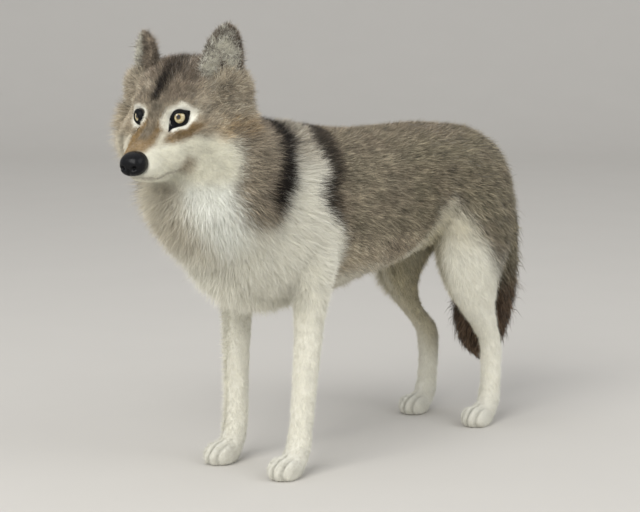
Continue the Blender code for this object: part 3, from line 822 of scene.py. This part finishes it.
def wool_mesh(name, roots, normals, along, length, lift, width, colours, seed, bent=False, reach=1.4, frizz=0.23):
    """Fibre tufts that lie nearly flat on the skin. A short tuft is one sliver, two corners at its root and one at its
    tip. A bent one has two more corners halfway, and from there it turns back towards the way it is combed. Each has
    a random roll, length and lean, which frizz widens. One in twelve is a stray, steeper and longer by reach."""
    dice = np.random.default_rng(seed)
    count = len(roots)
    stray = (dice.random(count) < STRAY_SHARE)[:, None]
    length = (length * dice.uniform(0.6, 1.2, count))[:, None] * np.where(stray, reach, 1)
    lift = np.minimum((lift * dice.uniform(0.4, 1.5, count))[:, None] * np.where(stray, 2.3, 1), STEEPEST)
    clump = np.column_stack([grain(roots, 5.5, seed + k) for k in range(3)]) * 0.13
    clump = clump + np.column_stack([grain(roots, 1.6, seed + k) for k in range(3, 6)]) * 0.1
    first = unit(along * np.cos(lift) + normals * np.sin(lift) + dice.normal(0, frizz, (count, 3)) + clump)
    second = unit(first * 0.5 + along * 0.75 + clump + dice.normal(0, 0.25, (count, 3)) - [0, 0, 0.1])
    root = roots - normals * ROOT_DEPTH
    middle = root + first * length * 0.5
    tip = middle + (second if bent else first) * length * 0.5
    across = unit(np.cross(first, normals))
    roll = dice.normal(0, 0.35, count)[:, None]
    across = across * np.cos(roll) + np.cross(first, across) * np.sin(roll)
    across = across * np.sign(np.sum(np.cross(across, first) * normals, axis=1, keepdims=True) + 1e-9)
    half = across * (width * dice.uniform(0.55, 1.4, count) / 2)[:, None]
    halfway = [middle + half * 0.8, middle - half * 0.8] if bent else []
    points = np.stack([root - half, root + half, *halfway, tip], axis=1)
    points[..., 2] = np.maximum(points[..., 2], FLOOR_GAP)
    order, cell_corners, depth, pale_painted_shading = RIBBON if bent else SLIVER
    mesh = tuft_mesh(name, points, order, cell_corners)

    # Colours: each tuft a speckle of its own in dark wool, softer in pale wool, in locks that lie along the comb
    speckle = dice.choice(SPECKLES[0], count, p=SPECKLES[1])
    lock = streaks(roots + along * length * 0.5, along, 0.42, seed + 9)
    speckle = speckle * (1 + 0.6 * lock + 0.3 * grain(roots, 2.4, seed + 10))
    speckle = 1 + (speckle - 1) * (0.35 + 0.65 * ease(length[:, 0], 0.6, 2.4))
    mean = colours.mean(axis=1)
    pale = ease(mean, 0.3, 0.62)
    soft = dice.uniform(0.92, 1.06, count) * (1 + 0.1 * lock + 0.06 * grain(roots, 3.5, seed + 12))
    tone = np.maximum(speckle + (soft - speckle) * pale, 0.2)
    tone = np.where(mean < 0.06, np.minimum(tone, 1.3), tone)
    # Painted shade at each tuft's root and, in dark wool, a painted highlight at its tip; both softer in pale wool
    painted_shading = np.array(depth) + pale[:, None] * (np.array(pale_painted_shading) - np.array(depth))
    laid = np.clip(colours[:, None, :] * (tone[:, None] * painted_shading)[:, :, None], 0, 0.95)
    lay_colours(mesh, laid.reshape(-1, 3))
    return mesh


def tuft_mesh(name, points, order, cell_corners):
    """A mesh of separate tufts at points (tufts, corners, 3). Order gives a tuft's faces. Each tuft has a cell of its
    own in a square grid of the UV map."""
    count, corners = points.shape[:2]
    mesh = bpy.data.meshes.new(name)
    mesh.vertices.add(count * corners)
    mesh.vertices.foreach_set("co", ((points.reshape(-1, 3) + FEET_MIDDLE) * MM).astype(np.float32).ravel())
    loops = (np.arange(count)[:, None] * corners + np.array(order)).ravel()
    mesh.loops.add(len(loops))
    mesh.loops.foreach_set("vertex_index", loops.astype(np.int32))
    mesh.polygons.add(len(loops) // 3)
    mesh.polygons.foreach_set("loop_start", np.arange(0, len(loops), 3, dtype=np.int32))
    mesh.update(calc_edges=True)
    mesh.shade_smooth()
    side = math.ceil(math.sqrt(count))
    cell = np.stack([np.arange(count) % side, np.arange(count) // side], axis=1)[:, None, :]
    layer = mesh.uv_layers.new(name="OFBake")
    layer.data.foreach_set("uv", ((cell + np.array(cell_corners)[order]) / side).astype(np.float32).ravel())
    return mesh


NOSE_SEAT = np.array([0, -22, -14.5])


def free_of_face(p):
    """How thickly fibres may grow, from 0 to 1: none on the lids and tear ducts, in the nose's seat or on the soles."""
    q = into_head(p)
    room = ease(np.linalg.norm(q - NOSE_SEAT, axis=1), 5.9, 6.5)
    for side in (-1, 1):
        axes, middle = eye_axes(side)
        e = (q - middle) @ axes.T
        duct = np.array([-side * 5.6, -5.4])
        share = np.clip(e[:, :2] @ duct / (duct @ duct), 0, 1)[:, None]
        away = np.linalg.norm(e[:, :2] - share * duct, axis=1)
        bare = ease(away, 4.2 - 2.6 * share[:, 0], 3.4 - 2.6 * share[:, 0])
        room = room * (1 - bare * (np.abs(e[:, 2]) < 6))
    return room * (p[:, 2] > 1.0)


def regions(p):
    """Which coat each point belongs to."""
    x, y, z = p.T
    _, ly, lz = into_head(p).T
    region = np.full(len(p), BACK)
    region[y > HIND_START] = HIND
    region[y < RUFF_END] = RUFF
    region[(z < 72) & (y < 0) & (np.abs(x) > 9) | (z < 54) & (y >= 0)] = LEGS
    region[(ly < 30) & (lz > -31) & (y < -90)] = HEAD
    return region


def skin_of_body():
    """The body's felt skin, which the coats grow on."""
    return bpy.data.objects["felt_body"].data


def grow(name, region, count, seed, width=1.0, reach=1.4, frizz=0.25):
    """Grows one region's coat on the body's skin. The head's is denser towards the muzzle."""
    settings = bpy.context.scene.wolf

    def density(p):
        crowd = 1 + 2.2 * ease(-into_head(p)[:, 1], -12, 4) * (region == HEAD)
        return (regions(p) == region) * free_of_face(p) * crowd

    roots, normals = sown(skin_of_body(), count, seed, density)
    long = fibre_length(roots)
    along = comb(roots, normals)
    fray = 0.5 + 1.3 * ease(into_head(roots)[:, 1], 4, 14)[:, None] if region == HEAD else 1.5
    colours = wool_colours(roots + along * long[:, None] * 0.7, settings.wool, fray)
    # Painted shade on the tufts that grow in the toe grooves
    colours = colours * (1 - 0.25 * paw_shape(roots)[1])[:, None]
    fat = settings.coat.width / MM * width * np.clip(0.5 + long / 8, 0.5, 1.2)
    mesh = wool_mesh(name, roots, normals, along, long, fibre_lift(roots), fat, colours, seed, reach=reach, frizz=frizz)
    return keep(name, mesh, fibre_finish("combed_wool_" + name), "white_wool")


class WOLF_OT_body(bpy.types.Operator):
    """Felts the skin of the trunk, head and legs"""

    bl_idname = "wolf.body"
    bl_label = "Felt body"

    def execute(self, context):
        settings = context.scene.wolf
        mesh = felted("felt_body", ["felted_body"], settings.coat.skin_grain, dimples=0.24, paws=True)
        points, _ = corners_of(mesh)
        # Painted shade in the toe grooves
        colours = wool_colours(points, settings.wool) * (1 - 0.3 * paw_shape(points)[1])[:, None]
        # Painted shade under the coat: the skin is darker where its fibres are long and its wool dark
        bare = ease(fibre_length(points), 3.5, 1.0)[:, None]
        pale = np.clip(colours.mean(axis=1, keepdims=True) / 0.5, 0, 1)
        lay_colours(mesh, colours * (0.66 + 0.3 * np.maximum(bare, pale)))
        keep("felt_body", mesh, felt_finish("white_felt"), "white_wool", "felted_body")
        return {"FINISHED"}


class WOLF_OT_ears(bpy.types.Operator):
    """Felts both ears and grows their wool"""

    bl_idname = "wolf.ears"
    bl_label = "Felt ears"

    def execute(self, context):
        settings = context.scene.wolf
        mesh = felted("felt_ears", ["left_ear", "right_ear"], 0.0006, dimples=0.1)
        points, normals = corners_of(mesh)
        # The ear felt is painted darker, a painted shade under its wool
        lay_colours(mesh, ear_colours(points, normals, settings.wool) * 0.85)
        piece = keep("felt_ears", mesh, felt_finish("ear_felt"), "grey_wool", "left_ear", "right_ear")
        roots, normals = sown(piece.data, settings.coat.ears, 31, evenly)
        side, rim = ear_inside(roots)
        forward = -(normals @ HEAD_AXES)[:, 1]
        up = np.column_stack([side * 0.25, np.zeros(len(roots)), np.ones(len(roots))]) @ HEAD_AXES.T
        along = laid_flat(up, normals)
        low = ease((roots @ HEAD_AXES)[:, 2] - (HEAD_AT @ HEAD_AXES)[2], 15, 8)
        long = 2.6 + 0.3 * ease(forward, 0.2, -0.4) - rim * 0.4 + low * 1.6
        colours = ear_colours(roots, normals, settings.wool, 0.6)
        wide = settings.coat.width / MM * 1.1
        fuzz = wool_mesh("ear_wool", roots, normals, along, long, 0.62, wide, colours, 32, reach=1.6, frizz=0.42)
        keep("ear_wool", fuzz, fibre_finish("ear_wool"), "grey_wool")
        return {"FINISHED"}


class WOLF_OT_tail(bpy.types.Operator):
    """Felts the tail and grows its long wool"""

    bl_idname = "wolf.tail"
    bl_label = "Felt tail"

    def execute(self, context):
        settings = context.scene.wolf
        mesh = felted("felt_tail", ["tail"], 0.0013, dimples=0.3)
        points, _ = corners_of(mesh)
        # The tail felt is painted darker, a painted shade under its long wool
        lay_colours(mesh, tail_colours(points, settings.wool) * 0.7)
        piece = keep("felt_tail", mesh, felt_finish("tail_felt"), "dark_wool", "tail")
        roots, normals = sown(piece.data, settings.coat.tail, 41, evenly)
        down = np.tile([0.0, 0.05, -1.0], (len(roots), 1))
        along = laid_flat(down, normals)
        long = 5.6 + 1.0 * ease(roots[:, 2], 90, 50) - 3.6 * ease(roots[:, 2], 50, 28)
        wide = settings.coat.width / MM * 1.5
        colours = tail_colours(roots, settings.wool, 1.5)
        fuzz = wool_mesh("tail_wool", roots, normals, along, long, 0.32, wide, colours, 42, bent=True)
        keep("tail_wool", fuzz, fibre_finish("tail_wool"), "dark_wool")
        return {"FINISHED"}


class WOLF_OT_back_coat(bpy.types.Operator):
    """Grows the coat of the back and flanks"""

    bl_idname = "wolf.back_coat"
    bl_label = "Back coat"

    def execute(self, context):
        grow("back_wool", BACK, context.scene.wolf.coat.back, seed=1, width=1.15, reach=1.6)
        return {"FINISHED"}


class WOLF_OT_ruff_coat(bpy.types.Operator):
    """Grows the ruff, chest and shoulder coat"""

    bl_idname = "wolf.ruff_coat"
    bl_label = "Ruff"

    def execute(self, context):
        grow("ruff_wool", RUFF, context.scene.wolf.coat.ruff, seed=2, width=1.05, reach=1.5, frizz=0.3)
        return {"FINISHED"}


class WOLF_OT_head_coat(bpy.types.Operator):
    """Grows the short coat of the face and the cheek tufts"""

    bl_idname = "wolf.head_coat"
    bl_label = "Head coat"

    def execute(self, context):
        grow("head_wool", HEAD, context.scene.wolf.coat.head, seed=3, width=0.9, reach=1.6, frizz=0.4)
        return {"FINISHED"}


class WOLF_OT_hind_coat(bpy.types.Operator):
    """Grows the coat of the rump and thighs"""

    bl_idname = "wolf.hind_coat"
    bl_label = "Hind coat"

    def execute(self, context):
        grow("hind_wool", HIND, context.scene.wolf.coat.hind, seed=4, width=1.15, reach=1.6)
        return {"FINISHED"}


class WOLF_OT_leg_fuzz(bpy.types.Operator):
    """Raises the fuzz of the lower legs and paws"""

    bl_idname = "wolf.leg_fuzz"
    bl_label = "Leg fuzz"

    def execute(self, context):
        grow("leg_wool", LEGS, context.scene.wolf.coat.legs, seed=5, width=1.3)
        return {"FINISHED"}


NOSE_HALF_WIDTH = 5.3
NOSE_HALF_HEIGHT = 4.55
NOSE_DEPTH = 4.9
NOSE_BACK = -21.6
NOSE_BACK_ARC = -0.55
SQUARENESS = 2.4
NOSTRIL = (2.35, -15.4)


def nose_points(rows=48, columns=80):
    """The nose in the head's frame: rings of a squared oval whose size is a power of the cosine of an arc from back
    to front, pressed in at two nostrils, at a slit beside each and along a groove down the front."""
    v = np.linspace(0, 1, rows)[:, None]
    u = np.linspace(0, 2 * math.pi, columns, endpoint=False)[None, :]
    arc = v * math.pi * 0.5 + (1 - v) * NOSE_BACK_ARC
    size = np.cos(np.clip(arc, NOSE_BACK_ARC, math.pi / 2 - 0.03)) ** 0.62
    c, s = np.cos(u), np.sin(u)
    power = 2 / SQUARENESS
    x = np.sign(c) * np.abs(c) ** power * NOSE_HALF_WIDTH * size
    z = np.sign(s) * np.abs(s) ** power * NOSE_HALF_HEIGHT * size
    y = NOSE_BACK - NOSE_DEPTH * np.sin(arc) + 0 * u
    z = z + NOSE_SEAT[2] + 0.12 * (y - NOSE_BACK)
    y = y - 0.35 * bell((np.abs(x) - 3.0) / 1.6, (z + 15.6) / 1.7) * v
    out, up = NOSTRIL
    hole = bell((np.abs(x) - out - 0.35 * (z - up)) / 0.85, (z - up) / 0.8)
    slit = bell((np.abs(x) - 4.1) / 1.1, (z + 16.0) / 0.42)
    groove = bell(x / 0.42) * ease(z, -14.6, -16.2)
    y = y + (1.7 * hole + 0.9 * slit * v + 0.75 * groove) * ease(v, 0.35, 0.7)
    return np.stack([x, y, z], axis=-1)


class WOLF_OT_nose(bpy.types.Operator):
    """Shapes the clay nose with its nostrils and groove"""

    bl_idname = "wolf.nose"
    bl_label = "Nose"

    def execute(self, context):
        points = nose_points()
        placed = out_of_head(points.reshape(-1, 3)).reshape(points.shape)
        mesh = grid_mesh("clay_nose", placed)
        turn_outwards(mesh)
        finish = clay_finish("nose_clay", context.scene.wolf.face.clay, roughness=0.27, varnish=0.13)
        keep("clay_nose", mesh, finish, "black_clay", "nose")
        return {"FINISHED"}


def turn_outwards(mesh):
    """Points the faces of a closed mesh outwards."""
    bm = bmesh.new()
    bm.from_mesh(mesh)
    bmesh.ops.recalc_face_normals(bm, faces=bm.faces)
    bm.to_mesh(mesh)
    bm.free()


def eye_axes(side):
    """The eye's own frame in the head's: rows are its outer side, its top and its way out, and its middle."""
    out = np.array([side * math.sin(EYE_SPLAY), -math.cos(EYE_SPLAY), 0.12])
    out = out / np.linalg.norm(out)
    across = np.array([side * math.cos(EYE_SPLAY), math.sin(EYE_SPLAY), 0.0])
    above = np.cross(out, across) * side
    middle = np.array([side * EYE_SPACING / 2, 0, 0]) - out * (EYE_CURVE - 0.4)
    return np.array([across * side, above, out]), middle


def from_eye(points, side):
    """Carries points from an eye's own frame to the wolf's."""
    axes, middle = eye_axes(side)
    return out_of_head(points.reshape(-1, 3) @ axes + middle).reshape(points.shape)


EYE_RIM = 1.2


def eye_dome(rows=20, columns=64):
    """A cabochon in the eye's frame: a flat back, a short rim and a dome that is part of a ball."""
    half = EYE_DIAMETER / 2
    arc = np.linspace(math.asin(half / EYE_CURVE), 0.0, rows)
    base = EYE_CURVE * math.cos(arc[0]) - EYE_RIM
    radius = np.concatenate([[0.001, half - 0.3, half], EYE_CURVE * np.sin(arc)])
    height = np.concatenate([[base, base, base + 0.2], EYE_CURVE * np.cos(arc)])
    radius[-1] = 0.001
    turn = np.linspace(0, 2 * math.pi, columns, endpoint=False)
    flat = radius[:, None, None] * np.stack([np.cos(turn), np.sin(turn)], axis=-1)
    return np.concatenate([flat, np.repeat(height, columns).reshape(-1, columns, 1)], axis=-1)


class WOLF_OT_eyes(bpy.types.Operator):
    """Sets the glass eyes"""

    bl_idname = "wolf.eyes"
    bl_label = "Glass eyes"

    def execute(self, context):
        face = context.scene.wolf.face
        finish = glass_eye_finish("amber_glass_eye", face.iris, face.pupil)
        points = eye_dome()
        flat = points.reshape(-1, 3)[:, :2]
        rim = IRIS_EDGE + (np.linalg.norm(flat, axis=1) - IRIS_EDGE) * 1.8
        for side, name in SIDES:
            mesh = grid_mesh(f"{name}_glass_eye", from_eye(points, side))
            turn_outwards(mesh)
            gaze = flat - np.array([GAZE_ACROSS[name], GAZE_UP])
            away = mesh.attributes.new("from_middle", "FLOAT", "POINT")
            away.data.foreach_set("value", np.maximum(np.linalg.norm(gaze, axis=1), rim).astype(np.float32))
            turn = mesh.attributes.new("round_middle", "FLOAT", "POINT")
            turn.data.foreach_set("value", np.abs(np.arctan2(gaze[:, 1], gaze[:, 0])).astype(np.float32))
            keep(f"{name}_glass_eye", mesh, finish, "amber_glass", f"{name}_eye")
        return {"FINISHED"}


def lid_outlines(side, turn, squeeze):
    """The lids' opening and their outer outline in the eye's frame, by angle. The opening is a circle flattened under
    the brow, and squeeze below 1 flattens and narrows it further. The outer outline is an almond on a slanted line a
    little below the eye's middle: each half is a power of the distance to its corner, and the inner corner is drawn
    out to a tear duct."""
    c, s = np.cos(turn), np.sin(turn)
    from_brow = (turn - 0.85 + math.pi) % (2 * math.pi) - math.pi
    hole = OPENING * (1 - 0.36 * bell(from_brow / 0.9))
    hole = hole * (1 - (1 - squeeze) * s**2) * (0.5 + 0.5 * squeeze)
    share = np.abs(c)
    upper = LID_TOP * (1 - share ** np.where(c > 0, 1.5, 1.7)) ** np.where(c > 0, 1.0, 1.2)
    lower = -LID_BOTTOM * (1 - share**1.7) ** np.where(c > 0, 1.0, 3.0)
    far = np.where(c > 0, LID_CORNER, TEAR_CORNER)
    above = np.where(s > 0, upper, lower) - LID_DROP
    along_x, along_y = math.cos(LID_SLANT), math.sin(LID_SLANT)
    edges = []
    for a, b in ((hole * c, hole * s), (far * c, above)):
        edges.append(np.stack([side * (a * along_x - b * along_y), a * along_y + b * along_x], axis=-1))
    return edges


def skin_height(flat, side):
    """How far the felt skin stands out at points of the eye's frame: the mean of the skin's nearby vertices, weighted
    by a bell curve of their distance."""
    axes, middle = eye_axes(side)
    points = (into_head(corners_of(skin_of_body())[0]) - middle) @ axes.T
    points = points[(np.abs(points[:, :2]).max(axis=1) < 10) & (points[:, 2] > -3)]
    gap = ((flat.reshape(-1, 1, 2) - points[None, :, :2]) ** 2).sum(axis=-1)
    weight = np.exp(-gap / 0.7) + 1e-9
    return (weight @ points[:, 2] / weight.sum(axis=1)).reshape(flat.shape[:-1])


class WOLF_OT_lids(bpy.types.Operator):
    """Shapes the black lids with their tear ducts"""

    bl_idname = "wolf.lids"
    bl_label = "Lids"

    def execute(self, context):
        """A tube round the eye from the opening to the outer outline, arched over a ball and then over the skin."""
        finish = clay_finish("lid_clay", context.scene.wolf.face.clay, roughness=0.4, varnish=0.0)
        turn = np.linspace(0, 2 * math.pi, 160, endpoint=False)[:, None]
        ring = np.linspace(0, 2 * math.pi, 14, endpoint=False)[None, :]
        for side, name in SIDES:
            inner, outer = lid_outlines(side, turn, SQUEEZE[name])
            share = (0.5 - 0.5 * np.cos(ring))[..., None]
            flat = inner + (outer - inner) * share
            away = np.linalg.norm(flat, axis=-1)
            ball = np.sqrt(np.maximum((EYE_CURVE + 0.1) ** 2 - away**2, 0.5))
            skin = skin_height(flat, side)
            bed = ball + (skin - ball) * ease(away, 3.1, 4.3)
            thick = np.clip(np.linalg.norm(outer - inner, axis=-1) * 0.3, 0.3, 0.55)
            height = bed + 0.1 + 0.25 * ease(away, 3.5, 5.0) + thick * np.sin(ring)
            points = np.concatenate([flat, height[..., None]], axis=-1)
            mesh = grid_mesh(f"{name}_clay_lid", from_eye(points, side), closed_along=True, capped=False)
            turn_outwards(mesh)
            keep(f"{name}_clay_lid", mesh, finish, "black_clay", f"{name}_eyelid")
        return {"FINISHED"}


CAMERA_AT = np.array([521.6, -594.4, 196.0])
CAMERA_SIDE = math.radians(41.27)
CAMERA_RISE = math.radians(8.7)
CAMERA_PIXELS = 1752.0
MIDDLE_PIXEL = np.array([367.0, 279.2])
FRAME_PIXELS = np.array([640.0, 512.0])
SENSOR = 36
CAMERA_RIGHT = np.array([math.cos(CAMERA_SIDE), math.sin(CAMERA_SIDE), 0])
CAMERA_AHEAD = np.array([-math.sin(CAMERA_SIDE), math.cos(CAMERA_SIDE), 0])


def camera_way():
    """The way through the middle of the photograph's frame."""
    back = np.array([0, 0, math.sin(CAMERA_RISE)]) - CAMERA_AHEAD * math.cos(CAMERA_RISE)
    above = np.cross(back, CAMERA_RIGHT)
    step = (FRAME_PIXELS / 2 - MIDDLE_PIXEL) / CAMERA_PIXELS
    return unit((CAMERA_RIGHT * step[0] - above * step[1] - back)[None, :])[0]


def set_camera(scene):
    """The camera at the photograph's place, with its lens."""
    lens = bpy.data.cameras.new("camera")
    lens.sensor_width = SENSOR
    lens.lens = CAMERA_PIXELS / FRAME_PIXELS[0] * SENSOR
    lens.clip_start = 0.05
    lens.clip_end = 20
    camera = bpy.data.objects.new("camera", lens)
    scene.collection.objects.link(camera)
    camera.location = (CAMERA_AT + FEET_MIDDLE) * MM
    camera.rotation_euler = Vector(camera_way()).to_track_quat("-Z", "Y").to_euler()
    scene.camera = camera


LAMP_AIM = Vector((0, 0, 0.08))


def set_lamp(scene, name, way, distance, size, power, colour):
    """A square lamp that shines on the wolf's middle from a way off."""
    lamp = bpy.data.lights.new(name, "AREA")
    lamp.size = size
    lamp.energy = power
    lamp.color = colour
    holder = bpy.data.objects.new(name, lamp)
    scene.collection.objects.link(holder)
    way = unit(np.array([way], float))[0]
    holder.location = Vector(way * distance) + LAMP_AIM
    holder.rotation_euler = Vector(way).to_track_quat("Z", "Y").to_euler()


SWEEP_NEAR = -3.0
SWEEP_BEND = 0.9
SWEEP_TOP = 3.2
SWEEP_HALF = 4


def sweep_mesh():
    """The studio's sweep: flat in front, then a quarter circle up behind, carried across the view."""
    arc = np.linspace(0, math.pi / 2, 24)
    depth = np.concatenate([[SWEEP_NEAR, 0.0, 0.8], 1.6 + SWEEP_BEND * np.sin(arc), [1.6 + SWEEP_BEND]])
    height = np.concatenate([[0.0, 0.0, 0.0], SWEEP_BEND * (1 - np.cos(arc)), [SWEEP_TOP]])
    across = np.linspace(-SWEEP_HALF, SWEEP_HALF, 3)
    points = depth[:, None, None] * CAMERA_AHEAD + across[None, :, None] * CAMERA_RIGHT
    points[..., 2] = height[:, None]
    flat = points / MM - FEET_MIDDLE
    return grid_mesh("studio_sweep", flat, closed_round=False, capped=False)


class WOLF_OT_stage(bpy.types.Operator):
    """Sets the pale sweep, the soft lights and the camera"""

    bl_idname = "wolf.stage"
    bl_label = "Studio"

    def execute(self, context):
        scene = context.scene
        studio = scene.wolf.studio
        dye = Dye("studio_paper", 0.9)
        duller = rgba([c * 0.97 for c in studio.floor])
        dye.set(Base_Color=dye.mix(dye.noise(60.0), duller, rgba(studio.floor)), Specular_IOR_Level=0.2)
        mesh = sweep_mesh()
        mesh.materials.append(dye.material)
        sweep = bpy.data.objects.new("studio_sweep", mesh)
        scene.collection.objects.link(sweep)
        warm, cool = (1.0, 0.99, 0.97), (0.97, 0.98, 1.0)
        set_lamp(scene, "key_lamp", (0.25, -1.0, 0.8), distance=1.5, size=1.0, power=studio.key, colour=warm)
        set_lamp(scene, "side_lamp", (1.0, 0.25, 0.7), distance=1.8, size=1.2, power=studio.key * 0.45, colour=cool)
        world = bpy.data.worlds.new("studio_air")
        world.use_nodes = True
        air = world.node_tree.nodes["Background"]
        air.inputs["Color"].default_value = (0.96, 0.97, 1.0, 1)
        air.inputs["Strength"].default_value = studio.fill
        scene.world = world
        scene.view_settings.view_transform = "Standard"
        set_camera(scene)
        return {"FINISHED"}


class WOLF_PT_panel(bpy.types.Panel):
    """The wolf's pieces and settings in the 3D view's sidebar"""

    bl_label = "Felted wolf"
    bl_idname = "WOLF_PT_panel"
    bl_space_type = "VIEW_3D"
    bl_region_type = "UI"
    bl_category = "Felted wolf"

    def draw(self, context):
        settings = context.scene.wolf
        for group in (settings.wool, settings.coat, settings.face, settings.studio):
            box = self.layout.box()
            for key in group.__annotations__:
                box.prop(group, key)
        for operator in OPERATORS:
            self.layout.operator(operator.bl_idname)


OPERATORS = (
    WOLF_OT_stage,
    WOLF_OT_body,
    WOLF_OT_ears,
    WOLF_OT_tail,
    WOLF_OT_nose,
    WOLF_OT_eyes,
    WOLF_OT_lids,
    WOLF_OT_back_coat,
    WOLF_OT_ruff_coat,
    WOLF_OT_head_coat,
    WOLF_OT_hind_coat,
    WOLF_OT_leg_fuzz,
)
CLASSES = (WolfWool, WolfCoat, WolfFace, WolfStudio, WolfSettings, *OPERATORS, WOLF_PT_panel)


def register():
    for cls in CLASSES:
        bpy.utils.register_class(cls)
    bpy.types.Scene.wolf = PointerProperty(type=WolfSettings)


def unregister():
    del bpy.types.Scene.wolf
    for cls in reversed(CLASSES):
        bpy.utils.unregister_class(cls)


def main():
    """Builds the wolf."""
    register()
    for operator in OPERATORS:
        group, name = operator.bl_idname.split(".")
        getattr(getattr(bpy.ops, group), name)()


if __name__ == "__main__":
    main()
